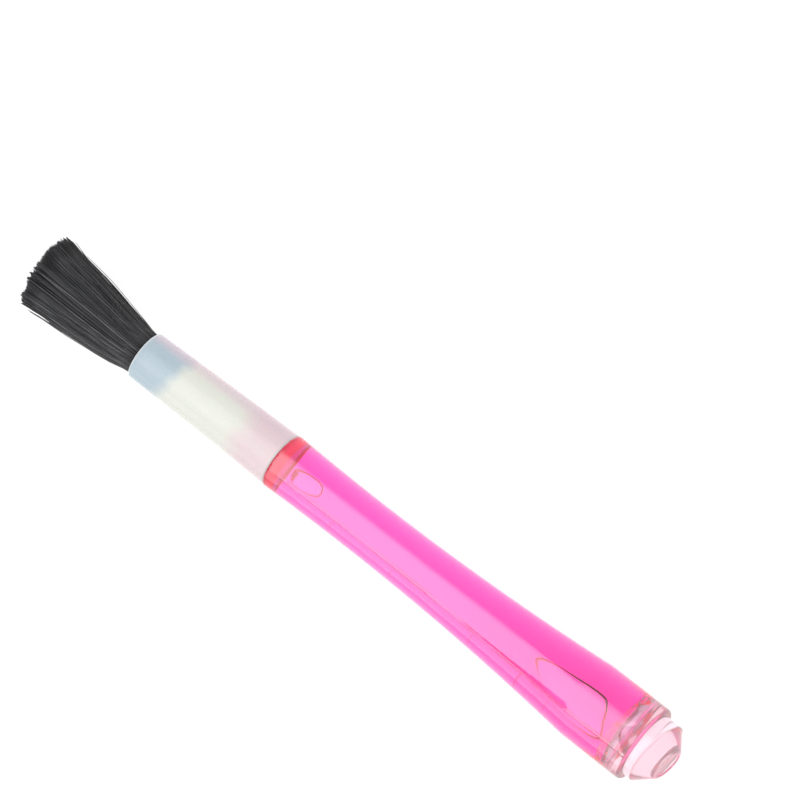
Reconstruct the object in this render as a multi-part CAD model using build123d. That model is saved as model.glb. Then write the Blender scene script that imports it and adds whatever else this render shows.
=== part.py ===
from build123d import *
from math import atan2, degrees, radians, sqrt, tan
import os

# A liquid-filled cleaning brush in the shape of a pen, lying on a surface at z = 0.
# Its axis runs along X, the tuft towards -X and the crown towards +X, and the origin is
# under the middle of its length.
#
# A station is a distance along the axis from the joint where the ferrule meets the handle,
# in millimetres, positive towards the crown. Every piece is turned about the X axis at its
# stations, then lifted and shifted into place by put_down().

# Whole pen
TUFT_TIP = -52.6
NOSE = -29.8
COLLAR_START = 65.8
RIM = 78.1
CROWN_REACH = 83.5
COLLAR_RADIUS = 7.05
JOINT_X = -(TUFT_TIP + CROWN_REACH) / 2
AXIS_HEIGHT = COLLAR_RADIUS

# Handle shell: a clear tube with one long waisted arc and a straight collar at the crown
WAIST_STATION = 17.5
WAIST_RADIUS = 4.75
RIM_ROUND = 0.6
WALL = 1.15

# Front plug: its inner length is cemented in the shell, the rest is the ferrule's tenon
PLUG_DEPTH = 1.7
TENON_LENGTH = 8.0
TENON_RADIUS = 3.75
TENON_CHAMFER = 0.4

# Cement: a film between plug and shell, and a bead on the liquid side of each plug
FILM = 0.15
BEAD = 0.35
BEAD_HOLLOW = 0.105

# Crown cap: a spigot in the shell, a band outside its rim, and a skewed, flat-ended cone
LIQUID_END = 74.1
BAND_END = 80.4
BAND_RADIUS = 5.95
CONE_BASE_RADIUS = 5.85
CONE_TIP_RADIUS = 3.0
CONE_HEIGHT = 2.7
DISH_RADIUS = 2.55
DISH_DEPTH = 0.25
LEAN_SIDE = 6.0
LEAN_UP = 5.0

# Air bubbles, each (first station, last station, width, depth, degrees round from the top)
SMALL_BUBBLE = (4.1, 9.7, 2.5, 0.9, 2.5)
LARGE_BUBBLE = (56.2, 72.1, 6.2, 1.3, -3.0)
BUBBLE_OVERRUN = 0.1

# Ferrule: a tapered sleeve with the tenon's socket behind and the tuft's socket in front
FERRULE_REAR_RADIUS = 4.92
FERRULE_NOSE_RADIUS = 4.38
NOSE_ROUND = 0.5
TENON_CLEARANCE = 0.04
TENON_GAP = 0.4
TUFT_SOCKET_RADIUS = 3.7
PASSAGE_RADIUS = 3.1

# Bristle tuft and the adhesive behind its bound roots
ROOT_DEPTH = 7.3
POTTING_LENGTH = 1.5
FLARE_START = (NOSE - 2, 4.4)
FLARE_MIDDLE = (NOSE - 11, 5.7)
TUFT_TIP_RADIUS = 7.2
TIP_DOME = 0.8
DOME_SHOULDER = 0.2


# Outlines

ARC_RISE = COLLAR_RADIUS - WAIST_RADIUS
ARC_RUN = COLLAR_START - WAIST_STATION
ARC_RADIUS = (ARC_RUN**2 + ARC_RISE**2) / (2 * ARC_RISE)


def shell_radius(station, inset=0.0):
    """Radius of the waisted outline at a station, or of the parallel arc inset from it."""
    return WAIST_RADIUS + ARC_RADIUS - sqrt((ARC_RADIUS + inset) ** 2 - (station - WAIST_STATION) ** 2)


def bore_radius(station):
    """Radius of the shell's bore at a station, straight inside the collar."""
    return shell_radius(min(station, COLLAR_START), WALL)


BORE_RADIUS = bore_radius(RIM)
SEAT_RADIUS = TENON_RADIUS + FILM
SPIGOT_RADIUS = BORE_RADIUS - FILM


def waisted_arc(start, end, inset=0.0):
    """The waisted outline between two stations, or the parallel arc inset from it."""
    stations = (start, (start + end) / 2, end)
    return ThreePointArc(*[(station, shell_radius(station, inset)) for station in stations])


def turned(*edges):
    """Solid turned about the pen's axis from a closed chain of edges in (station, radius)."""
    return revolve(make_face(list(edges)), Axis.X)


def ring(start, end, outer, inner=0.0):
    """Round bar between two stations, or a ring where it has an inner radius."""
    corners = [(start, inner), (end, inner), (end, outer), (start, outer)]
    return turned(Polyline(*corners, close=True))


def bead(station, direction):
    """Ring of cement with a hollowed face, in the corner between a plug's end and the bore."""
    radius = bore_radius(station)
    edge = station + direction * BEAD
    corner = (station, radius)
    along = (edge, bore_radius(edge))
    inward = (station, radius - BEAD)
    hollow = (station + direction * BEAD_HOLLOW, radius - BEAD_HOLLOW)
    return turned(Line(corner, along), ThreePointArc(along, hollow, inward), Line(inward, corner))


def outer_edge(piece, station):
    """The widest circular edge of a turned piece at a station."""
    return piece.edges().filter_by_position(Axis.X, station, station).sort_by(SortBy.RADIUS)[-1]


def put_down(piece):
    """Lifts a piece from the turning axis to its place on the surface."""
    return Pos(JOINT_X, 0, AXIS_HEIGHT) * piece


# Handle

def handle_shell():
    outside = waisted_arc(0, COLLAR_START)
    bore = waisted_arc(PLUG_DEPTH, COLLAR_START, WALL)
    rim_outer = (RIM, COLLAR_RADIUS)
    rim_inner = (RIM, BORE_RADIUS)
    shell = turned(
        outside,
        Line(outside @ 1, rim_outer),
        Line(rim_outer, rim_inner),
        Line(rim_inner, bore @ 1),
        bore,
        Line(bore @ 0, (PLUG_DEPTH, SEAT_RADIUS)),
        Line((PLUG_DEPTH, SEAT_RADIUS), (0, SEAT_RADIUS)),
        Line((0, SEAT_RADIUS), outside @ 0),
    )
    return fillet(outer_edge(shell, RIM), RIM_ROUND)


def air_bubble(first, last, width, depth, around):
    """Barrel that dips into the top of the bore as far as a flattened air bubble does."""
    length = last - first
    belly = (width**2 / 4 + depth**2) / (2 * depth)
    ends = belly - depth - BUBBLE_OVERRUN
    outline = ThreePointArc((0, ends), (length / 2, belly), (length, ends))
    barrel = turned(outline, Polyline((length, ends), (length, 0), (0, 0), (0, ends)))
    slope = degrees(atan2(bore_radius(last) - bore_radius(first), length))
    height = bore_radius(first) + belly - depth
    return Rot(X=-around) * Pos(first, 0, height) * Rot(Y=-slope) * barrel


def liquid_fill():
    bore = waisted_arc(PLUG_DEPTH, COLLAR_START, WALL)
    liquid = turned(
        bore,
        Line(bore @ 1, (LIQUID_END, BORE_RADIUS)),
        Line((LIQUID_END, BORE_RADIUS), (LIQUID_END, 0)),
        Line((LIQUID_END, 0), (PLUG_DEPTH, 0)),
        Line((PLUG_DEPTH, 0), bore @ 0),
    )
    beads = plug_bead() + crown_bead()
    return liquid - beads - air_bubble(*SMALL_BUBBLE) - air_bubble(*LARGE_BUBBLE)


def front_plug():
    rod = ring(-TENON_LENGTH, PLUG_DEPTH, TENON_RADIUS)
    return chamfer(outer_edge(rod, -TENON_LENGTH), TENON_CHAMFER)


def plug_bead():
    return bead(PLUG_DEPTH, 1)


def plug_cement():
    return ring(0, PLUG_DEPTH, SEAT_RADIUS, TENON_RADIUS) + plug_bead()


def crown_bead():
    return bead(LIQUID_END, -1)


def crown_cement():
    return ring(LIQUID_END, RIM, BORE_RADIUS, SPIGOT_RADIUS) + crown_bead()


def crown_cap():
    lean = Vector(1, -tan(radians(LEAN_SIDE)), tan(radians(LEAN_UP)))
    skew = Plane(origin=(BAND_END, 0, 0), z_dir=lean)
    spigot = ring(LIQUID_END, RIM, SPIGOT_RADIUS)
    band = split(ring(RIM, BAND_END + BAND_RADIUS, BAND_RADIUS), bisect_by=skew, keep=Keep.BOTTOM)
    cone = Pos(0, 0, CONE_HEIGHT / 2) * Cone(CONE_BASE_RADIUS, CONE_TIP_RADIUS, CONE_HEIGHT)
    dish = Pos(0, 0, CONE_HEIGHT) * Cylinder(DISH_RADIUS, 2 * DISH_DEPTH)
    return spigot + band + skew.location * (cone - dish)


# Brush head

def ferrule():
    tenon_socket = TENON_RADIUS + TENON_CLEARANCE
    tenon_stop = -(TENON_LENGTH + TENON_GAP)
    tuft_stop = NOSE + ROOT_DEPTH + POTTING_LENGTH
    corners = [
        (0, tenon_socket),
        (tenon_stop, tenon_socket),
        (tenon_stop, PASSAGE_RADIUS),
        (tuft_stop, PASSAGE_RADIUS),
        (tuft_stop, TUFT_SOCKET_RADIUS),
        (NOSE, TUFT_SOCKET_RADIUS),
        (NOSE, FERRULE_NOSE_RADIUS),
        (0, FERRULE_REAR_RADIUS),
    ]
    sleeve = turned(Polyline(*corners, close=True))
    return fillet(outer_edge(sleeve, NOSE), NOSE_ROUND)


def root_potting():
    back = NOSE + ROOT_DEPTH
    return ring(back, back + POTTING_LENGTH, TUFT_SOCKET_RADIUS)


def bristle_tuft():
    """Bound roots in the socket, and a flared fan that lies a little flattened on the surface."""
    root = NOSE + ROOT_DEPTH
    mouth = (NOSE, TUFT_SOCKET_RADIUS)
    flare = Spline(mouth, FLARE_START, FLARE_MIDDLE, (TUFT_TIP + TIP_DOME, TUFT_TIP_RADIUS))
    shoulder = (TUFT_TIP + DOME_SHOULDER, TUFT_TIP_RADIUS / 2)
    tuft = turned(
        Line((root, 0), (root, TUFT_SOCKET_RADIUS)),
        Line((root, TUFT_SOCKET_RADIUS), mouth),
        flare,
        ThreePointArc(flare @ 1, shoulder, (TUFT_TIP, 0)),
        Line((TUFT_TIP, 0), (root, 0)),
    )
    surface = Plane(origin=(0, 0, -AXIS_HEIGHT))
    return split(tuft, bisect_by=surface, keep=Keep.TOP)


PIECES = {
    "handle_shell": handle_shell,
    "liquid_fill": liquid_fill,
    "front_plug": front_plug,
    "plug_cement": plug_cement,
    "crown_cap": crown_cap,
    "crown_cement": crown_cement,
    "ferrule": ferrule,
    "bristle_tuft": bristle_tuft,
    "root_potting": root_potting,
}

os.makedirs("parts", exist_ok=True)
for name, make in PIECES.items():
    export_step(put_down(make()), f"parts/{name}.step")
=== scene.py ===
import random
from math import cos, exp, pi, radians, sin, sqrt, tan

import bpy
import numpy as np
from mathutils import Matrix, Vector


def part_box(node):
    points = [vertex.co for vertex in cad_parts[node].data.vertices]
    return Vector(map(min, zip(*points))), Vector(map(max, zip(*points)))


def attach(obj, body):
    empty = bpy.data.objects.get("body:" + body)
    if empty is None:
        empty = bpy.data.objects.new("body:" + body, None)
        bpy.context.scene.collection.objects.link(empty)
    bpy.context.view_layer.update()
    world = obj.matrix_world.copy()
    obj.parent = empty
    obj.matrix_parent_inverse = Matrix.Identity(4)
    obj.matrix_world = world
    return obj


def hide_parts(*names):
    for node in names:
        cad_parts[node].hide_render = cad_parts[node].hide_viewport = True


# A pen-shaped cleaning brush with a liquid-filled handle. Lengths are in millimetres until a
# point goes into a mesh. A station is a distance along the pen's axis from the joint between
# ferrule and handle, positive towards the crown. An angle goes round the axis from the top
# towards -Y, in degrees.

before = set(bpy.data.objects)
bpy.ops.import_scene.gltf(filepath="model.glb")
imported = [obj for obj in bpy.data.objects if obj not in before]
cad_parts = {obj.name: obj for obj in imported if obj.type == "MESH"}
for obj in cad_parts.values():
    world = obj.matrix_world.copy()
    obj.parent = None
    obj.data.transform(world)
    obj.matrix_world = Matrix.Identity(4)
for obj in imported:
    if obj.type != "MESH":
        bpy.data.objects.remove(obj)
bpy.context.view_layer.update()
random.seed(7)

MM = 0.001


# Where the frame puts things

def node_box(name):
    """A CAD node's lowest and highest corner, in millimetres."""
    low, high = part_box(name)
    return low / MM, high / MM


shell_low, shell_high = node_box("handle_shell")
JOINT_X = shell_low.x
AXIS_Z = (shell_low.z + shell_high.z) / 2
COLLAR_RADIUS = (shell_high.z - shell_low.z) / 2
RIM = shell_high.x - JOINT_X
NOSE = node_box("ferrule")[0].x - JOINT_X
TUFT_TIP = node_box("bristle_tuft")[0].x - JOINT_X
LIQUID_END = node_box("liquid_fill")[1].x - JOINT_X
PLUG_DEPTH = node_box("front_plug")[1].x - JOINT_X
TENON_LENGTH = JOINT_X - node_box("front_plug")[0].x

# Handle, as in the CAD
COLLAR_START = 65.8
WAIST_STATION = 17.5
WAIST_RADIUS = 4.75
WALL = 1.15
RIM_ROUND = 0.6
TENON_RADIUS = 3.75
FILM = 0.15
BAND_END = 80.4
BAND_RADIUS = 5.95
CONE_BASE_RADIUS = 5.85
CONE_TIP_RADIUS = 3.0
CONE_HEIGHT = 2.7
DISH_RADIUS = 2.55
DISH_DEPTH = 0.25
LEAN_SIDE = 6.0
LEAN_UP = 5.0

# Brush head, as in the CAD, and how far its nose leans towards -Y
FERRULE_REAR_RADIUS = 4.92
FERRULE_NOSE_RADIUS = 4.38
TENON_CLEARANCE = 0.04
TENON_GAP = 0.4
TUFT_SOCKET_RADIUS = 3.7
PASSAGE_RADIUS = 3.1
ROOT_DEPTH = 7.3
POTTING_LENGTH = 1.5
HEAD_LEAN = 0.25

# Clear bodies reach this far into each other, so that no film of air shows between them
OVERLAP = 0.02

ARC_RISE = COLLAR_RADIUS - WAIST_RADIUS
ARC_RUN = COLLAR_START - WAIST_STATION
ARC_RADIUS = (ARC_RUN**2 + ARC_RISE**2) / (2 * ARC_RISE)


def shell_radius(station, inset=0.0):
    """Radius of the waisted outline, straight in the collar, or of the arc inset from it."""
    run = min(station, COLLAR_START) - WAIST_STATION
    return WAIST_RADIUS + ARC_RADIUS - sqrt((ARC_RADIUS + inset) ** 2 - run**2)


def bore_radius(station):
    return shell_radius(station, WALL)


BORE_RADIUS = bore_radius(RIM)
SEAT_RADIUS = TENON_RADIUS + FILM
SPIGOT_RADIUS = BORE_RADIUS - FILM
TENON_STOP = -(TENON_LENGTH + TENON_GAP)


# Meshes

def lean(station):
    """How far the brush head leans towards -Y at a station, ahead of the tenon."""
    return HEAD_LEAN * min(1.0, max(0.0, TENON_STOP - station) / (TENON_STOP - NOSE))


def on_pen(station, radius, angle):
    """The point of the frame at a station, a radius and an angle, in millimetres."""
    a = radians(angle)
    return Vector((JOINT_X + station, -radius * sin(a) - lean(station), AXIS_Z + radius * cos(a)))


def hoop(angles, station, radius):
    """Loop of points round the pen. The station is a number, or a function of the angle."""
    place = station if callable(station) else lambda angle: station
    return [on_pen(place(a), radius, a) for a in angles]


def even_angles(count):
    return [360 * i / count for i in range(count)]


def spread(start, end, step):
    """Even stations from start to end, about a step apart."""
    count = max(1, round(abs(end - start) / step))
    return [start + (end - start) * i / count for i in range(count + 1)]


def outward(mesh):
    """Turns a closed mesh's normals outward, by the sign of its volume."""
    corners = np.array([v.co for v in mesh.vertices])
    mesh.calc_loop_triangles()
    a, b, c = (corners[[t.vertices[i] for t in mesh.loop_triangles]] for i in range(3))
    if np.einsum("ij,ij->i", a, np.cross(b, c)).sum() < 0:
        mesh.flip_normals()


def new_object(name, data):
    made = bpy.data.objects.new(name, data)
    bpy.context.scene.collection.objects.link(made)
    return made


def loft(name, loops, closed=False, crease=32):
    """Mesh through loops of as many points each: a ring of loops if closed, or capped ends."""
    count = len(loops[0])
    points = [p * MM for loop in loops for p in loop]
    faces = []
    for k in range(len(loops) if closed else len(loops) - 1):
        here, there = k * count, ((k + 1) % len(loops)) * count
        for i in range(count):
            j = (i + 1) % count
            faces.append((here + i, here + j, there + j, there + i))
    if not closed:
        for k, turn in ((0, -1), (len(loops) - 1, 1)):
            centre = sum(loops[k], Vector()) / count
            points.append(centre * MM)
            hub = len(points) - 1
            for i in range(count):
                side = (k * count + i, k * count + (i + 1) % count)
                faces.append((*side[::turn], hub))
    mesh = bpy.data.meshes.new(name)
    mesh.from_pydata(points, [], faces)
    mesh.validate()
    outward(mesh)
    mesh.shade_smooth()
    mesh.set_sharp_from_angle(angle=radians(crease))
    return new_object(name, mesh)


def turned(name, outline, closed=False):
    """Lathe mesh from an outline of (station, radius) points."""
    angles = even_angles(192)
    return loft(name, [hoop(angles, station, radius) for station, radius in outline], closed)


def rounded(corners, steps=4):
    """The corners (station, radius, rounding) as an outline, with an arc at each rounded one."""
    outline = []
    for i, (station, radius, rounding) in enumerate(corners):
        here = Vector((station, radius))
        if rounding <= 0:
            outline.append(tuple(here))
            continue
        before = Vector(corners[i - 1][:2])
        after = Vector(corners[(i + 1) % len(corners)][:2])
        back, ahead = (before - here).normalized(), (after - here).normalized()
        half = back.angle(ahead) / 2
        reach = rounding / tan(half)
        middle = here + (back + ahead).normalized() * rounding / sin(half)
        first, last = here + back * reach - middle, here + ahead * reach - middle
        sweep = first.angle_signed(last)
        for k in range(steps + 1):
            outline.append(tuple(middle + Matrix.Rotation(-sweep * k / steps, 2) @ first))
    return outline


# Nodes

def fill(tree, made, sockets):
    """Gives a node's sockets, by name or number, a value, a colour or another node's output."""
    for key, value in sockets.items():
        socket = made.inputs[key]
        if isinstance(value, bpy.types.NodeSocket):
            tree.links.new(value, socket)
        elif socket.type == "RGBA":
            socket.default_value = (*value, 1)
        else:
            socket.default_value = value


def node(tree, kind, sockets=None, **properties):
    """A node with its properties set and its sockets filled."""
    made = tree.nodes.new(kind)
    for key, value in properties.items():
        setattr(made, key, value)
    fill(tree, made, sockets or {})
    return made


def sites(tree, stretch=(1, 1, 1)):
    """Position on the piece in millimetres, stretched along each axis."""
    place = node(tree, "ShaderNodeTexCoord").outputs["Object"]
    scale = tuple(s / MM for s in stretch)
    return node(tree, "ShaderNodeMapping", {"Vector": place, "Scale": scale}).outputs["Vector"]


def pen_place(tree):
    """Station, and millimetres towards +Y and up from the axis, as sockets."""
    along, across, up = node(tree, "ShaderNodeSeparateXYZ", {"Vector": sites(tree)}).outputs
    return maths(tree, "SUBTRACT", along, JOINT_X), across, maths(tree, "SUBTRACT", up, AXIS_Z)


def noise(tree, vector, scale, detail=3.0, roughness=0.5):
    sockets = {"Vector": vector, "Scale": scale, "Detail": detail, "Roughness": roughness}
    return node(tree, "ShaderNodeTexNoise", sockets).outputs["Fac"]


def span(tree, value, low, high, bottom=0.0, top=1.0):
    """The value's stretch from low to high, carried smoothly to bottom to top."""
    sockets = {"Value": value, "From Min": low, "From Max": high, "To Min": bottom, "To Max": top}
    made = node(tree, "ShaderNodeMapRange", sockets, interpolation_type="SMOOTHSTEP")
    return made.outputs["Result"]


def maths(tree, operation, *values):
    made = node(tree, "ShaderNodeMath", dict(enumerate(values)), operation=operation)
    return made.outputs["Value"]


def mixed(tree, factor, a, b):
    """Colour a, carried to b by the factor. Either is a colour or a socket."""
    return node(tree, "ShaderNodeMix", {0: factor, 6: a, 7: b}, data_type="RGBA").outputs[2]


def bump(tree, height, strength, depth):
    """Normal bumped by a height socket, depth being its full height in millimetres."""
    sockets = {"Height": height, "Strength": strength, "Distance": depth * MM}
    return node(tree, "ShaderNodeBump", sockets).outputs["Normal"]


def srgb(red, green, blue):
    """A colour given as 0 to 255 in sRGB, as linear light."""
    def linear(c):
        c = c / 255
        return c / 12.92 if c <= 0.04045 else ((c + 0.055) / 1.055) ** 2.4
    return (linear(red), linear(green), linear(blue))


# Materials

def new_material(name):
    material = bpy.data.materials.new(name)
    material.use_nodes = True
    tree = material.node_tree
    return material, tree, tree.nodes["Principled BSDF"]


# The shell's parting line, in degrees, and how wide the dark red drawn along it shows, in radians
SEAM_ANGLE = 21.7
SEAM_SHOWS = (0.010, 0.032)

# Fine cross lines in the shell's wall, each (station, first angle, last angle, strength), their
# width in millimetres, and how they bow along the pen away from an angle in radians
CROSS_LINES = (
    (55.0, 14, 66, 0.5),
    (44.5, 24, 62, 0.3),
    (27.0, 20, 58, 0.22),
    (14.0, 26, 64, 0.25),
    (61.5, 22, 60, 0.2),
)
CROSS_SHOWS = (0.05, 0.16)
CROSS_MIDDLE = 0.9
CROSS_BOW = 1.6
MARK_COLOUR = (0.55, 0.02, 0.12)


def shell_marks(tree):
    """How strongly the shell is coloured dark red along its parting line and the fine cross lines.
    """
    station, across, up = pen_place(tree)
    turn = maths(tree, "ARCTAN2", maths(tree, "MULTIPLY", across, -1.0), up)

    def turn_from(angle):
        return maths(tree, "ABSOLUTE", maths(tree, "SUBTRACT", turn, angle))

    fading = span(tree, noise(tree, sites(tree, (0.1, 0, 0)), 1.0), 0.35, 0.6, 0.45, 1.0)
    seam_line = span(tree, turn_from(radians(SEAM_ANGLE)), *SEAM_SHOWS, 1.0, 0.0)
    marks = maths(tree, "MULTIPLY", seam_line, fading)
    aside = maths(tree, "SUBTRACT", turn, CROSS_MIDDLE)
    bow = maths(tree, "MULTIPLY", maths(tree, "MULTIPLY", aside, aside), CROSS_BOW)
    for where, first, last, strength in CROSS_LINES:
        off = maths(tree, "SUBTRACT", maths(tree, "SUBTRACT", station, where), bow)
        line = span(tree, maths(tree, "ABSOLUTE", off), *CROSS_SHOWS, strength, 0.0)
        middle, half = radians(first + last) / 2, radians(last - first) / 2
        ends = span(tree, turn_from(middle), half * 0.7, half, 1.0, 0.0)
        marks = maths(tree, "MAXIMUM", marks, maths(tree, "MULTIPLY", line, ends))
    return marks


def clear_body(name, ior, absorption, rough=0.0, ripple=None, tint=(1, 1, 1), marked=False,
               clear=1.0):
    """Clear material. absorption is how much red, green and blue it takes from light per mm,
    rough its highest roughness, and ripple the depth in mm and the scale of soft waves in it."""
    material, tree, shader = new_material(name)
    fill(tree, shader, {
        "Base Color": tint,
        "Roughness": 0.0,
        "IOR": ior,
        "Transmission Weight": clear,
    })
    if marked:
        colour = mixed(tree, shell_marks(tree), (1, 1, 1), MARK_COLOUR)
        fill(tree, shader, {"Base Color": colour})
    if rough:
        wear = noise(tree, sites(tree), 1.7, 5.0, 0.6)
        fill(tree, shader, {"Roughness": span(tree, wear, 0.4, 0.75, 0.0, rough)})
    if ripple:
        depth, scale = ripple
        waves = noise(tree, sites(tree, (0.25, 1, 1)), scale, 2.0)
        fill(tree, shader, {"Normal": bump(tree, waves, 1.0, depth)})
    # The fog's colour stays off black where its density is a little over the strongest channel
    strongest = 1.02 * max(absorption)
    passed = tuple(1 - a / strongest for a in absorption)
    fog = node(tree, "ShaderNodeVolumeAbsorption", {"Color": passed, "Density": strongest / MM})
    fill(tree, tree.nodes["Material Output"], {"Volume": fog.outputs["Volume"]})
    return material


# Stations between which the ferrule's painted light and shade change: the bluish painted shade
# over the roots ends, the pinkish painted light over the tenon starts, and the painted highlight
# at the nose and the painted shade at the rear edge fade
ROOTS_SHADE_END = (-23.6, -20.6)
TENON_GLOW = (-10.0, -5.5)
NOSE_HIGHLIGHT = (NOSE + 0.15, NOSE + 0.45)
REAR_SHADE = (-0.5, -0.15)


def milky_plastic():
    """Natural plastic with painted light and shade: bluish painted shade over the roots, pinkish
    painted light over the tenon, pinkish painted shade along the +Y side, a painted highlight at
    the nose and painted shade at the rear edge.
    """
    material, tree, shader = new_material("milky_plastic")
    station, across, _ = pen_place(tree)
    cloud = noise(tree, sites(tree, (0.5, 1, 1)), 0.35, 2.0)
    ragged = maths(tree, "ADD", station, maths(tree, "MULTIPLY_ADD", cloud, 3.4, -1.7))
    slanted = maths(tree, "SUBTRACT", ragged, maths(tree, "MULTIPLY", across, 0.28))
    grain = noise(tree, sites(tree, (0.06, 1, 1)), 1.1)
    base = srgb(236, 238, 228)
    for factor, colour in (
        # painted bluish shade over the roots inside the ferrule
        (span(tree, slanted, *ROOTS_SHADE_END, 1.0, 0.0), srgb(184, 203, 215)),
        # painted pink light over the tenon inside the ferrule
        (span(tree, ragged, *TENON_GLOW), srgb(238, 216, 220)),
        # painted pinkish shade along the +Y side
        (span(tree, across, 2.6, 4.4, 0.0, 0.75), srgb(228, 200, 212)),
        # painted highlight round the edge of the nose
        (span(tree, station, *NOSE_HIGHLIGHT, 0.8, 0.0), srgb(248, 250, 252)),
        # painted shade at the rear edge, by the joint with the handle
        (span(tree, station, *REAR_SHADE, 0.0, 0.5), srgb(188, 196, 188)),
        (span(tree, grain, 0.35, 0.7, 0.0, 0.16), srgb(218, 224, 220)),
    ):
        base = mixed(tree, factor, base, colour)
    scuffs = noise(tree, sites(tree, (0.15, 1, 1)), 2.0, 4.0)
    fill(tree, shader, {
        "Base Color": base,
        "Roughness": span(tree, noise(tree, sites(tree), 2.3, 4.0), 0.3, 0.7, 0.24, 0.36),
        "Normal": bump(tree, scuffs, 0.15, 0.02),
        "IOR": 1.5,
        "Specular IOR Level": 0.35,
        "Subsurface Weight": 0.35,
        "Subsurface Radius": (1.2 * MM, 1.1 * MM, 1.0 * MM),
        "Subsurface Scale": 1.0,
    })
    return material


def vertex_tone(tree):
    """The tone from 0 to 1 that a mesh carries as an attribute."""
    return node(tree, "ShaderNodeAttribute", attribute_name="tone").outputs["Fac"]


def black_nylon():
    """Filaments, each with its own tone."""
    material, tree, shader = new_material("black_nylon")
    tone = vertex_tone(tree)
    grain = span(tree, noise(tree, sites(tree, (0.15, 1, 1)), 2.0), 0.3, 0.7, 0.0, 0.5)
    base = mixed(tree, tone, srgb(12, 12, 15), srgb(130, 130, 136))
    fill(tree, shader, {
        "Base Color": mixed(tree, grain, base, srgb(16, 16, 19)),
        "Roughness": span(tree, tone, 0.0, 1.0, 0.5, 0.34),
    })
    return material


def bubble_edge_shading():
    """Painted light and shade at the edges of the air bubbles, from pink over coral to dark maroon
    by their tone.
    """
    material, tree, shader = new_material("bubble_edge_shading")
    speck = span(tree, noise(tree, sites(tree), 3.0), 0.3, 0.7, -0.1, 0.1)
    uneven = maths(tree, "ADD", vertex_tone(tree), speck)
    base = mixed(tree, span(tree, uneven, 0.0, 0.5), srgb(224, 16, 128), srgb(218, 12, 92))
    fill(tree, shader, {
        "Base Color": mixed(tree, span(tree, uneven, 0.5, 1.0), base, srgb(104, 0, 44)),
        "Roughness": 0.5,
        "Specular IOR Level": 0.1,
    })
    return material


def coral_plastic():
    material, tree, shader = new_material("coral_acrylic")
    cloud = noise(tree, sites(tree), 0.8)
    fill(tree, shader, {
        "Base Color": mixed(tree, cloud, srgb(255, 50, 108), srgb(250, 64, 120)),
        "Roughness": span(tree, cloud, 0.3, 0.7, 0.08, 0.2),
        "Subsurface Weight": 0.5,
        "Subsurface Radius": (1.5 * MM, 0.4 * MM, 0.6 * MM),
        "Subsurface Scale": 1.0,
    })
    return material


def coral_cement():
    """Set cement: opaque coral at the front plug, and clear at the crown with coral patches of
    painted light, where the dyed liquid is seen along a long path.
    """
    material, tree, shader = new_material("stained_cement")
    cloud = noise(tree, sites(tree), 0.45)
    station = pen_place(tree)[0]
    front = span(tree, station, 10, 12, 1.0, 0.0)
    # coral at the front plug, and coral patches of painted light at the crown
    coral_share = maths(tree, "MAXIMUM", span(tree, cloud, 0.5, 0.62), front)
    fill(tree, shader, {
        "Base Color": mixed(tree, coral_share, srgb(255, 214, 228), srgb(255, 16, 92)),
        "Transmission Weight": span(tree, coral_share, 0.0, 1.0, 0.97, 0.0),
        "Roughness": span(tree, cloud, 0.3, 0.7, 0.05, 0.25),
        "IOR": 1.5,
    })
    return material


def root_adhesive():
    material, tree, shader = new_material("root_adhesive")
    cloud = noise(tree, sites(tree), 0.9)
    fill(tree, shader, {
        "Base Color": mixed(tree, cloud, srgb(196, 190, 170), srgb(150, 146, 132)),
        "Roughness": span(tree, cloud, 0.3, 0.7, 0.3, 0.6),
        "Normal": bump(tree, cloud, 0.6, 0.15),
    })
    return material


# Handle

# The parting line's ridge: its height, its width in degrees, and where the mesh has points on it
SEAM_HEIGHT = 0.035
SEAM_WIDTH = 1.3
SEAM_POINTS = (-3, -2, -1.3, -0.7, 0, 0.7, 1.3, 2, 3)


def seam(angle):
    """Height of the mould's parting line, which runs down both sides of the shell."""
    away = (angle - SEAM_ANGLE + 90) % 180 - 90
    return SEAM_HEIGHT * exp(-((away / SEAM_WIDTH) ** 2))


def handle_shell():
    fine = [SEAM_ANGLE + turn + side for side in (0, 180) for turn in SEAM_POINTS]
    angles = sorted(set(a % 360 for a in fine + even_angles(216)))
    step = 1.2
    corners = [(0, shell_radius(0), 0.3)]
    corners += [(s, shell_radius(s), 0) for s in spread(step, COLLAR_START, step)]
    corners += [(RIM, COLLAR_RADIUS, RIM_ROUND), (RIM, BORE_RADIUS, 0.12)]
    corners += [(s, bore_radius(s), 0) for s in spread(COLLAR_START, PLUG_DEPTH, step)]
    corners += [(PLUG_DEPTH, SEAT_RADIUS, 0), (0, SEAT_RADIUS, 0.1)]
    loops = []
    for station, radius in rounded(corners, 6):
        outside = radius > shell_radius(station, WALL / 2)
        loops.append([on_pen(station, radius + seam(a) * outside, a) for a in angles])
    return loft("handle_shell_clear", loops, closed=True)


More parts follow.
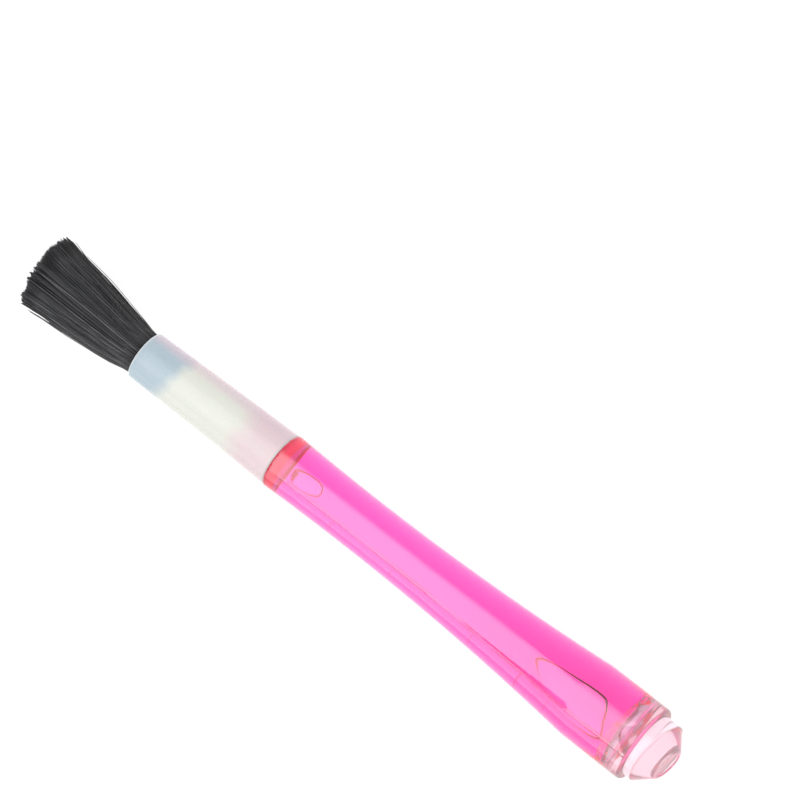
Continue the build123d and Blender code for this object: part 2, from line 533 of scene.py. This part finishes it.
# Air bubbles: each outline as (station, angle, width and tone of the line round it),
# how deep the bubble dips into the liquid, and how wide its rounded shoulder is
# The line round each bubble is painted light and shade, from pink over coral to dark maroon.
SMALL_BUBBLE = (
    (4.3, -15, 0.42, 0.5), (6.2, -23, 0.20, 0.55), (8.4, -23.5, 0.20, 0.6),
    (9.5, -15.5, 0.24, 0.66), (9.7, 3, 0.24, 0.6), (8.4, 14, 0.20, 0.5),
    (6.4, 19, 0.08, 0.3), (4.9, 18, 0.12, 0.4), (4.2, 8, 0.36, 0.5), (4.0, -5, 0.50, 0.45),
)
SMALL_DEPTH, SMALL_SHOULDER = 1.3, 1.3
LARGE_BUBBLE = (
    (56.2, -13, 0.50, 0.45), (58.8, -23, 0.16, 0.6), (63.4, -27, 0.26, 0.95),
    (68.7, -29.4, 0.36, 1.0), (70.3, -20, 0.38, 0.9), (71.3, -1, 0.38, 0.5),
    (72.1, 29, 0.38, 0.45), (67.2, 35, 0.05, 0.1), (61.3, 25, 0.04, 0.1), (57.6, 4, 0.14, 0.3),
)
LARGE_DEPTH, LARGE_SHOULDER = 2.2, 2.7
EIGHTHS = [pi * k / 4 for k in range(8)]


def smooth_outline(points, steps):
    """Closed Catmull-Rom curve through the rows of numbers."""
    rows = np.array(points, float)
    curve = []
    for i in range(len(rows)):
        a, b, c, d = (rows[(i + k) % len(rows)] for k in (-1, 0, 1, 2))
        for k in range(steps):
            t = k / steps
            curve.append(0.5 * (2 * b + (c - a) * t + (2 * a - 5 * b + 4 * c - d) * t**2
                                + (3 * b - a - 3 * c + d) * t**3))
    return np.array(curve)


def bubble_line(name, outline):
    """The liquid's thin curved edge round an air bubble, where it meets the bore: a real shape,
    made opaque and coloured with painted light and shade.
    """
    curve = smooth_outline(outline, 14)
    centres = [on_pen(float(s), bore_radius(s) - 0.3 * float(w), a) for s, a, w, _ in curve]
    loops, tones = [], []
    for i, (_, angle, width, tone) in enumerate(curve):
        ahead = (centres[(i + 1) % len(centres)] - centres[i - 1]).normalized()
        out = on_pen(0, 1, angle) - on_pen(0, 0, angle)
        aside = ahead.cross(out).normalized()
        across, deep = aside * float(width / 2), out * float(0.35 * width)
        loops.append([centres[i] + across * cos(t) + deep * sin(t) for t in EIGHTHS])
        tones += [float(min(1, max(0, tone)))] * len(EIGHTHS)
    piece = loft(name, loops, closed=True, crease=80)
    piece.data.attributes.new("tone", "FLOAT", "POINT").data.foreach_set("value", tones)
    return piece


def dent(outline, depth, shoulder, stations, angles):
    """How far the bubble dips into the liquid at each station and angle, with round shoulders."""
    middle = bore_radius(outline[0][0])
    start = smooth_outline(outline, 10)[:, :2] * (1, radians(1) * middle)
    end = np.roll(start, -1, 0)
    along = end - start
    grid = np.stack(np.meshgrid(stations, np.radians(angles) * middle, indexing="ij"), -1)
    points = grid.reshape(-1, 2)

    away = points[:, None] - start[None]
    t = np.clip((away * along).sum(-1) / (along**2).sum(-1), 0, 1)
    distance = np.sqrt(((away - t[..., None] * along) ** 2).sum(-1)).min(1)

    # A point is inside where a line from it crosses the outline an odd number of times
    height = points[:, 1, None]
    crosses = (start[:, 1] > height) != (end[:, 1] > height)
    rise = np.where(along[:, 1] == 0, 1e-9, along[:, 1])
    meets = start[:, 0] + (height - start[:, 1]) * along[:, 0] / rise
    inside = (crosses & (points[:, 0, None] < meets)).sum(1) % 2 == 1

    climb = 1 - np.clip(distance / shoulder, 0, 1)
    dip = np.where(inside, depth * np.sqrt(np.clip(1 - climb**2, 0, 1)), 0)
    return dip.reshape(len(stations), len(angles))


def crown_creep(angle):
    """How far the crown's cement creeps along the spigot, in scallops."""
    a = radians(angle)
    return 0.75 + 0.22 * sin(9 * a + 0.6) + 0.16 * sin(4 * a + 2.1) + 0.14 * sin(14 * a)


def crown_edge(share, angle):
    """Station of that share of the crown cement's reach into the liquid, which is uneven."""
    a = radians(angle)
    reach = 0.75 + 0.35 * sin(a + 0.9) + 0.18 * sin(3 * a + 0.4) + 0.08 * sin(8 * a + 1.0)
    return LIQUID_END - share * reach


def plug_edge(share, angle):
    """Station of that share of the front plug cement's reach into the liquid."""
    a = radians(angle)
    return PLUG_DEPTH + share * (0.2 + 0.05 * sin(2 * a + 1.0) + 0.03 * sin(5 * a))


# Where the liquid's mesh has points: angles that are fine over the bubbles, and stretches, each
# (first station, last station, step), fine along them
FINE_ANGLES = np.arange(-48, 50, 1.0)
COARSE_ANGLES = np.arange(50, 312, 3.0)
LIQUID_STRETCHES = (
    (PLUG_DEPTH + 0.3, 3.8, 0.35),
    (3.9, 9.9, 0.08),
    (10.2, 55.8, 1.0),
    (56.0, 72.3, 0.1),
    (72.5, LIQUID_END - 1.3, 0.3),
)

# Radius of the bore beside the front plug's cement
PLUG_BORE = bore_radius(2)


def liquid_fill():
    angles = [*FINE_ANGLES, *COARSE_ANGLES]
    stations = [s for stretch in LIQUID_STRETCHES for s in spread(*stretch)]
    dips = dent(SMALL_BUBBLE, SMALL_DEPTH, SMALL_SHOULDER, stations, angles)
    dips += dent(LARGE_BUBBLE, LARGE_DEPTH, LARGE_SHOULDER, stations, angles)
    front = [
        hoop(angles, PLUG_DEPTH - OVERLAP, 1.5),
        hoop(angles, PLUG_DEPTH - OVERLAP, TENON_RADIUS - 0.35),
        hoop(angles, lambda a: plug_edge(0.4, a), TENON_RADIUS - 0.1),
        hoop(angles, lambda a: plug_edge(1, a) - OVERLAP, PLUG_BORE + OVERLAP),
    ]
    body = []
    for row, station in zip(dips, stations):
        edge = bore_radius(station) + OVERLAP
        body.append([on_pen(station, edge - dip, a) for dip, a in zip(row, angles)])
    back = [
        hoop(angles, lambda a: crown_edge(1, a) + OVERLAP, BORE_RADIUS + OVERLAP),
        hoop(angles, lambda a: crown_edge(0.35, a), BORE_RADIUS - 0.3),
        hoop(angles, LIQUID_END + OVERLAP, BORE_RADIUS - 0.75),
        hoop(angles, LIQUID_END + OVERLAP, 2.0),
    ]
    return loft("dyed_liquid", front + body + back, crease=50)


def front_plug():
    core = 0.4
    return turned("front_plug_coral", rounded([
        (-TENON_LENGTH, core, 0),
        (-TENON_LENGTH, TENON_RADIUS, 0.4),
        (PLUG_DEPTH, TENON_RADIUS, 0.12),
        (PLUG_DEPTH, core, 0),
    ]))


def plug_cement():
    angles = even_angles(144)
    return loft("plug_cement_ring", [
        hoop(angles, 0.1, TENON_RADIUS - OVERLAP),
        hoop(angles, 0.1, SEAT_RADIUS + OVERLAP),
        hoop(angles, PLUG_DEPTH, SEAT_RADIUS + OVERLAP),
        hoop(angles, lambda a: plug_edge(1, a), PLUG_BORE + 2 * OVERLAP),
        hoop(angles, lambda a: plug_edge(0.4, a) + OVERLAP, TENON_RADIUS - 0.12),
        hoop(angles, PLUG_DEPTH - OVERLAP, TENON_RADIUS - 0.37),
        hoop(angles, PLUG_DEPTH - 0.1, TENON_RADIUS - OVERLAP),
    ], closed=True)


def crown_cement():
    angles = even_angles(240)
    inner, outer = SPIGOT_RADIUS - OVERLAP, BORE_RADIUS + 2 * OVERLAP
    return loft("crown_cement_ring", [
        hoop(angles, LIQUID_END + 0.1, inner),
        hoop(angles, LIQUID_END - 2 * OVERLAP, BORE_RADIUS - 0.75),
        hoop(angles, lambda a: crown_edge(0.35, a) - OVERLAP, BORE_RADIUS - 0.3),
        hoop(angles, lambda a: crown_edge(1, a), outer),
        hoop(angles, lambda a: crown_edge(0.3, a), outer),
        hoop(angles, lambda a: LIQUID_END + 0.6 * crown_creep(a), outer),
        hoop(angles, lambda a: LIQUID_END + crown_creep(a), (inner + outer) / 2),
        hoop(angles, lambda a: LIQUID_END + 0.6 * crown_creep(a), inner),
    ], closed=True)


def crown_cap():
    """Spigot, band and skewed cone with a shallow dish in its end."""
    angles = even_angles(192)
    tilt_side, tilt_up = tan(radians(LEAN_SIDE)), tan(radians(LEAN_UP))
    normal = Vector((1, -tilt_side, tilt_up)).normalized()
    side = Vector((0, -1, 0))
    side = (side - side.dot(normal) * normal).normalized()
    top = normal.cross(side)
    if top.z < 0:
        top = -top
    origin = on_pen(BAND_END, 0, 0)

    def sliced(radius, back=0.0):
        """Where a cylinder of that radius meets the skewed plane, or runs short of it."""
        def station(angle):
            p = on_pen(0, radius, angle)
            return BAND_END + tilt_side * p.y - tilt_up * (p.z - AXIS_Z) - back
        return hoop(angles, station, radius)

    def skewed(height, radius):
        """Loop at a height over the skewed plane."""
        turns = [radians(a) for a in angles]
        return [origin + normal * height + radius * (side * sin(t) + top * cos(t)) for t in turns]

    # soft is how far the band's and the cone's edges are eased
    soft = 0.14
    seated = BORE_RADIUS + OVERLAP
    slope = (CONE_BASE_RADIUS - CONE_TIP_RADIUS) / CONE_HEIGHT
    dish_floor = CONE_HEIGHT - DISH_DEPTH
    spigot = [(LIQUID_END, 2.0), (LIQUID_END, seated - 0.25), (LIQUID_END + 0.04, seated - 0.08)]
    spigot += [(LIQUID_END + 0.25, seated)]
    spigot += [(s, seated) for s in spread(LIQUID_END + 0.8, RIM, 0.8)]
    spigot += [(RIM + 0.04, seated), (RIM + 0.12, BAND_RADIUS)]
    band = [(BAND_RADIUS, 0.5), (BAND_RADIUS, soft), (BAND_RADIUS - 0.04, 0.04)]
    band += [(BAND_RADIUS - 0.1, 0.0)]
    cone = [(h, CONE_BASE_RADIUS - h * slope) for h in (0.0, 0.1, 0.4)]
    cone += [(CONE_HEIGHT - soft, CONE_TIP_RADIUS + soft * slope)]
    cone += [(CONE_HEIGHT - 0.03, CONE_TIP_RADIUS - 0.03), (CONE_HEIGHT, CONE_TIP_RADIUS - soft)]
    cone += [(CONE_HEIGHT, DISH_RADIUS + 0.06), (CONE_HEIGHT - 0.05, DISH_RADIUS)]
    cone += [(dish_floor + 0.05, DISH_RADIUS - 0.05), (dish_floor, DISH_RADIUS - 0.15)]
    cone += [(dish_floor, 0.8)]
    loops = [hoop(angles, station, radius) for station, radius in spigot]
    loops += [sliced(radius, back) for radius, back in band]
    loops += [skewed(height, radius) for height, radius in cone]
    return loft("crown_cap_clear", loops, crease=28)


# Brush head

def ferrule():
    taper = (FERRULE_REAR_RADIUS - FERRULE_NOSE_RADIUS) / -NOSE
    tenon_socket = TENON_RADIUS + TENON_CLEARANCE
    tuft_stop = NOSE + ROOT_DEPTH + POTTING_LENGTH
    corners = [(0, tenon_socket, 0.1), (TENON_STOP, tenon_socket, 0)]
    corners += [(TENON_STOP, PASSAGE_RADIUS, 0), (tuft_stop, PASSAGE_RADIUS, 0)]
    corners += [(tuft_stop, TUFT_SOCKET_RADIUS, 0)]
    corners += [(NOSE, TUFT_SOCKET_RADIUS, 0.08), (NOSE, FERRULE_NOSE_RADIUS, 0.4)]
    corners += [(s, FERRULE_REAR_RADIUS + s * taper, 0) for s in spread(NOSE + 1.5, -0.8, 1.5)]
    corners += [(0, FERRULE_REAR_RADIUS, 0.15)]
    return turned("ferrule_milky", rounded(corners, 5), closed=True)


# Bristles: how many are in the inner bundle and in the layer over it, one filament's radius,
# and its mesh's sides and rings
INNER_FILAMENTS = 2300
OUTER_FILAMENTS = 2600
FILAMENT_RADIUS = 0.075
SIDES = 3
RINGS = 8

# The tuft outside the ferrule, each row (distance from the nose, radius, middle towards +Y)
TUFT_PROFILE = np.array([
    (0.0, 3.60, -0.25), (1.2, 3.90, -0.27), (2.2, 4.06, -0.29), (4.2, 4.38, -0.30),
    (6.2, 4.58, -0.28), (8.2, 4.82, -0.14), (10.2, 5.06, -0.05), (12.2, 5.36, 0.02),
    (14.2, 5.62, 0.14), (16.2, 5.80, 0.18), (18.2, 6.06, 0.27), (20.2, 6.45, 0.42),
    (22.8, 6.80, 0.50),
])

# The cut: how far past the CAD's tip it starts, and how much shorter filaments get towards the
# outside, in locks and towards -Y, the rate of what is random, and a cut end's share of width
CUT_START = 0.45
CUT_DOME = 0.3
CUT_LOCKS = 0.65
CUT_SKEW = 0.7
CUT_RATE = 3.5
CUT_SIZE = 0.7

# How many locks the filaments gather into, and by what angle
LOCKS = 23
LOCK_TURN = radians(1.4)

# Strays: from which share of the tuft's radius out, how many of those, how much shorter they
# may be, how far they may lift, and how far they drift beside the others
STRAY_FROM = 0.93
STRAY_CHANCE = 0.2
STRAY_SHORT = 7.0
STRAY_LIFT = 0.85
STRAY_DRIFT, DRIFT = 0.30, 0.10

# How far filaments may go past the CAD's tip, and the room they keep to across and up
TIP_PAST = 0.5
LEAST_ASIDE, MOST_ASIDE, MOST_UP = -7.45, 7.55, 7.45


def tuft_profile(station):
    """The tuft's radius and the place of its middle along Y at a station."""
    out = NOSE - station
    return (float(np.interp(out, TUFT_PROFILE[:, 0], TUFT_PROFILE[:, k])) for k in (1, 2))


def locks(around):
    """Phase of the small locks that the filaments gather into, round the tuft."""
    return around * LOCKS + 4 * sin(5 * around)


def filament(inner, outer):
    """One filament's points, ring by ring, from its root between two shares of the tuft's
    radius to its ragged cut, and its tone."""
    share = sqrt(random.uniform(inner**2, outer**2))
    around = random.uniform(0, 2 * pi)
    stray = share > STRAY_FROM and random.random() < STRAY_CHANCE
    lock = 0.5 + 0.5 * sin(locks(around) + share * 14)
    cut = TUFT_TIP - CUT_START + CUT_DOME * share**2 + CUT_LOCKS * lock * share
    cut += random.expovariate(CUT_RATE)
    cut += CUT_SKEW * share * (0.5 + 0.5 * sin(around))
    lift = 0.0
    if stray:
        cut += random.uniform(-0.4, STRAY_SHORT)
        lift = min(STRAY_LIFT, random.expovariate(4.0))
    cut = max(cut, TUFT_TIP - TIP_PAST)
    drift = STRAY_DRIFT if stray else DRIFT
    bend = Vector((random.gauss(0, drift), random.gauss(0, drift)))
    curl = Vector((random.gauss(0, drift), random.gauss(0, drift)))
    gather = LOCK_TURN * sin(locks(around))
    tone = random.betavariate(0.6, 3.2)
    thick = FILAMENT_RADIUS * random.uniform(0.75, 1.2)
    phase = random.uniform(0, 2 * pi)

    start = NOSE + 1.5
    points = []
    for k in range(RINGS):
        station = start + (cut - start) * k / (RINGS - 1)
        outside = max(0.0, (NOSE - station) / (NOSE - TUFT_TIP))
        spread_to, middle = tuft_profile(station)
        radius = share * spread_to + lift * sin(2.6 * outside)
        turn = around + gather * outside**2
        y = -radius * sin(turn) + middle
        y += bend.x * outside**1.5 + curl.x * sin(pi * outside) * 0.6
        z = radius * cos(turn)
        z += bend.y * outside**1.5 + curl.y * sin(pi * outside) * 0.6
        y = min(max(y, LEAST_ASIDE), MOST_ASIDE)
        z = min(max(z, thick - AXIS_Z + 0.01), MOST_UP)
        size = thick * (CUT_SIZE if k == RINGS - 1 else 1.0)
        for m in range(SIDES):
            t = phase + 2 * pi * m / SIDES
            corner = (JOINT_X + station, y + size * cos(t), AXIS_Z + z + size * sin(t))
            points.append(Vector(corner))
    return points, tone


def filaments(name, count, inner, outer):
    """Filaments whose roots lie between two shares of the tuft's radius, as one mesh."""
    points, faces, tones = [], [], []
    for _ in range(count):
        first = len(points)
        more, tone = filament(inner, outer)
        points += [p * MM for p in more]
        tones += [tone] * len(more)
        for k in range(RINGS - 1):
            here, there = first + k * SIDES, first + (k + 1) * SIDES
            for m in range(SIDES):
                n = (m + 1) % SIDES
                faces.append((here + m, there + m, there + n, here + n))
        root = range(first, first + SIDES)
        tip = range(first + (RINGS - 1) * SIDES, first + RINGS * SIDES)
        faces += [tuple(root), tuple(reversed(tip))]
    mesh = bpy.data.meshes.new(name)
    mesh.from_pydata(points, [], faces)
    mesh.attributes.new("tone", "FLOAT", "POINT").data.foreach_set("value", tones)
    mesh.shade_smooth()
    mesh.set_sharp_from_angle(angle=radians(125))
    return new_object(name, mesh)


# Camera, with angles in degrees and the distance in millimetres

LENS = 450.0
SENSOR = 36.0
VIEW_TILT = 14.5
VIEW_LEAN = 9.0
IMAGE_SLOPE = 37.93
VIEW_DISTANCE = 1651.0
AIM_STATION = 9.56
AIM_ASIDE = 19.89


def camera():
    """Long lens from above, the crown's end nearer to it and the pen sloping across the view."""
    tilt, roll, slope = radians(VIEW_TILT), radians(VIEW_LEAN), radians(IMAGE_SLOPE)
    toward = Vector((sin(tilt), cos(tilt) * sin(roll), cos(tilt) * cos(roll)))
    along = (Vector((1, 0, 0)) - toward.x * toward).normalized()
    aside = Vector((0, cos(roll), -sin(roll)))
    right = cos(slope) * along + sin(slope) * aside
    up = -sin(slope) * along + cos(slope) * aside
    aim = on_pen(AIM_STATION, 0, 0) + aside * AIM_ASIDE
    data = bpy.data.cameras.new("camera")
    data.lens, data.sensor_width = LENS, SENSOR
    data.clip_start, data.clip_end = 0.01, 100
    data.dof.use_dof = False
    made = new_object("camera", data)
    turn = Matrix((right, up, toward)).transposed().to_4x4()
    made.matrix_world = Matrix.Translation((aim + toward * VIEW_DISTANCE) * MM) @ turn
    bpy.context.scene.camera = made


# Lights, in metres. Each strip across the pen is (first angle, last angle, radiance), in degrees
# from overhead towards +Y as seen from the pen

STRIPS = ((-53, 27, 4.9), (27, 34, 3.3), (34, 41, 1.7))
STRIP_HEIGHT = 1.1
STRIP_LENGTH = 0.40
STRIP_X = -0.29
SIDE_STRIP = {"size": (0.6, 1.07), "centre": (-0.35, -1.51, 0.52), "radiance": 2.3}
SIDE_TURN = 71
KEY = {"size": (0.7, 0.7), "centre": (-0.25, -0.35, 1.0), "radiance": 1.2}


def panel(name, size, centre, radiance):
    """Area light of that radiance, facing down, that isn't seen directly or through glass."""
    data = bpy.data.lights.new(name, "AREA")
    data.shape = "RECTANGLE"
    data.size, data.size_y = size
    data.energy = radiance * pi * size[0] * size[1]
    lamp = new_object(name, data)
    lamp.location = centre
    lamp.visible_camera = False
    lamp.visible_transmission = False
    return lamp


def softboxes():
    """Strips, whose reflections are the pale bands down the handle with a soft edge towards +Y,
    and a wide key light that only matt surfaces see."""
    for i, (first, last, radiance) in enumerate(STRIPS):
        low, high = (STRIP_HEIGHT * tan(radians(a)) for a in (first, last))
        centre = (STRIP_X, (low + high) / 2, STRIP_HEIGHT)
        strip = panel(f"strip_{i}", (STRIP_LENGTH, high - low), centre, radiance)
        strip.visible_diffuse = False
    side = panel("side_strip", **SIDE_STRIP)
    side.rotation_euler = (radians(SIDE_TURN), 0, 0)
    side.visible_diffuse = False
    key = panel("key", **KEY)
    key.visible_glossy = False


def light_tent(tree, plain, shine, through, matt=0.0):
    """Strength of white that is plain to the camera, with as much more in reflections and
    through clear bodies, and as much less on matt surfaces."""
    path = node(tree, "ShaderNodeLightPath").outputs
    reflected = maths(tree, "SUBTRACT", path["Is Reflection Ray"], path["Is Diffuse Ray"])
    strength = maths(tree, "MULTIPLY_ADD", reflected, shine, plain)
    strength = maths(tree, "MULTIPLY_ADD", path["Is Transmission Ray"], through, strength)
    return maths(tree, "MULTIPLY_ADD", path["Is Diffuse Ray"], -matt, strength)


def world_light():
    world = bpy.data.worlds.new("studio")
    bpy.context.scene.world = world
    world.use_nodes = True
    world.cycles.sampling_method = "NONE"
    tree = world.node_tree
    strength = light_tent(tree, plain=1.0, shine=0.4, through=0.18, matt=0.2)
    fill(tree, tree.nodes["Background"], {"Color": (1, 1, 1), "Strength": strength})


def floor():
    """Pale floor, lit from within so that it stays white to the horizon."""
    reach = 12.0
    corners = [(x * reach, y * reach, 0) for x, y in ((-1, -1), (1, -1), (1, 1), (-1, 1))]
    mesh = bpy.data.meshes.new("floor")
    mesh.from_pydata(corners, [], [(0, 1, 2, 3)])
    plane = new_object("floor", mesh)
    material, tree, shader = new_material("floor")
    paper = noise(tree, sites(tree), 0.02, 2.0)
    fill(tree, shader, {
        "Base Color": mixed(tree, paper, (0.16, 0.16, 0.16), (0.19, 0.19, 0.19)),
        "Roughness": 0.9,
        "Specular IOR Level": 0.0,
        "Emission Color": (1, 1, 1),
        "Emission Strength": light_tent(tree, plain=0.92, shine=0.3, through=0.22),
    })
    mesh.materials.append(material)


def light_paths():
    """Enough bounces for light to find its way out of the nested clear bodies."""
    cycles = bpy.context.scene.cycles
    cycles.use_denoising = True
    cycles.max_bounces = cycles.transmission_bounces = cycles.glossy_bounces = 96
    cycles.diffuse_bounces = 12
    cycles.volume_bounces = 0
    cycles.transparent_max_bounces = 32
    cycles.blur_glossy = 0.2
    cycles.caustics_refractive = cycles.caustics_reflective = True


# Everything together

def give(piece, material, slot, body, *nodes):
    """Finishes a piece: its material, the body it rides on and what it replaces.
    The slot is not used.
    """
    piece.data.materials.clear()
    piece.data.materials.append(material)
    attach(piece, body)
    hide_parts(*nodes)


clear_acrylic = clear_body(
    "clear_acrylic", ior=1.49, absorption=(0.002, 0.09, 0.068),
    rough=0.03, ripple=(0.01, 0.4), marked=True)
pink_liquid = clear_body(
    "pink_liquid", ior=1.36, absorption=(0.001, 0.275, 0.065), tint=(1, 0.42, 0.84))
crown_acrylic = clear_body(
    "crown_acrylic", ior=1.42, absorption=(0.0, 0.012, 0.005),
    rough=0.03, ripple=(0.008, 0.3), tint=(1, 0.95, 0.965), clear=0.8)
stained_cement = coral_cement()
edges = bubble_edge_shading()
nylon = black_nylon()

give(handle_shell(), clear_acrylic, "clear_acrylic", "handle", "handle_shell")
give(liquid_fill(), pink_liquid, "pink_liquid", "handle", "liquid_fill")
give(bubble_line("small_bubble_edge", SMALL_BUBBLE), edges, "pink_liquid", "handle")
give(bubble_line("large_bubble_edge", LARGE_BUBBLE), edges, "pink_liquid", "handle")
give(front_plug(), coral_plastic(), "coral_acrylic", "handle", "front_plug")
give(plug_cement(), stained_cement, "stained_cement", "handle", "plug_cement")
give(crown_cement(), stained_cement, "stained_cement", "handle", "crown_cement")
give(crown_cap(), crown_acrylic, "crown_acrylic", "handle", "crown_cap")
give(ferrule(), milky_plastic(), "milky_plastic", "brush_head", "ferrule")
outer_tuft = filaments("bristle_tuft_outer", OUTER_FILAMENTS, 0.8, 1.0)
give(outer_tuft, nylon, "black_nylon", "brush_head", "bristle_tuft")
inner_tuft = filaments("bristle_tuft_inner", INNER_FILAMENTS, 0.0, 0.82)
give(inner_tuft, nylon, "black_nylon", "brush_head")

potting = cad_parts["root_potting"]
potting.data.materials.clear()
potting.data.materials.append(root_adhesive())

bpy.context.scene.view_settings.view_transform = "Standard"
light_paths()
camera()
softboxes()
world_light()
floor()
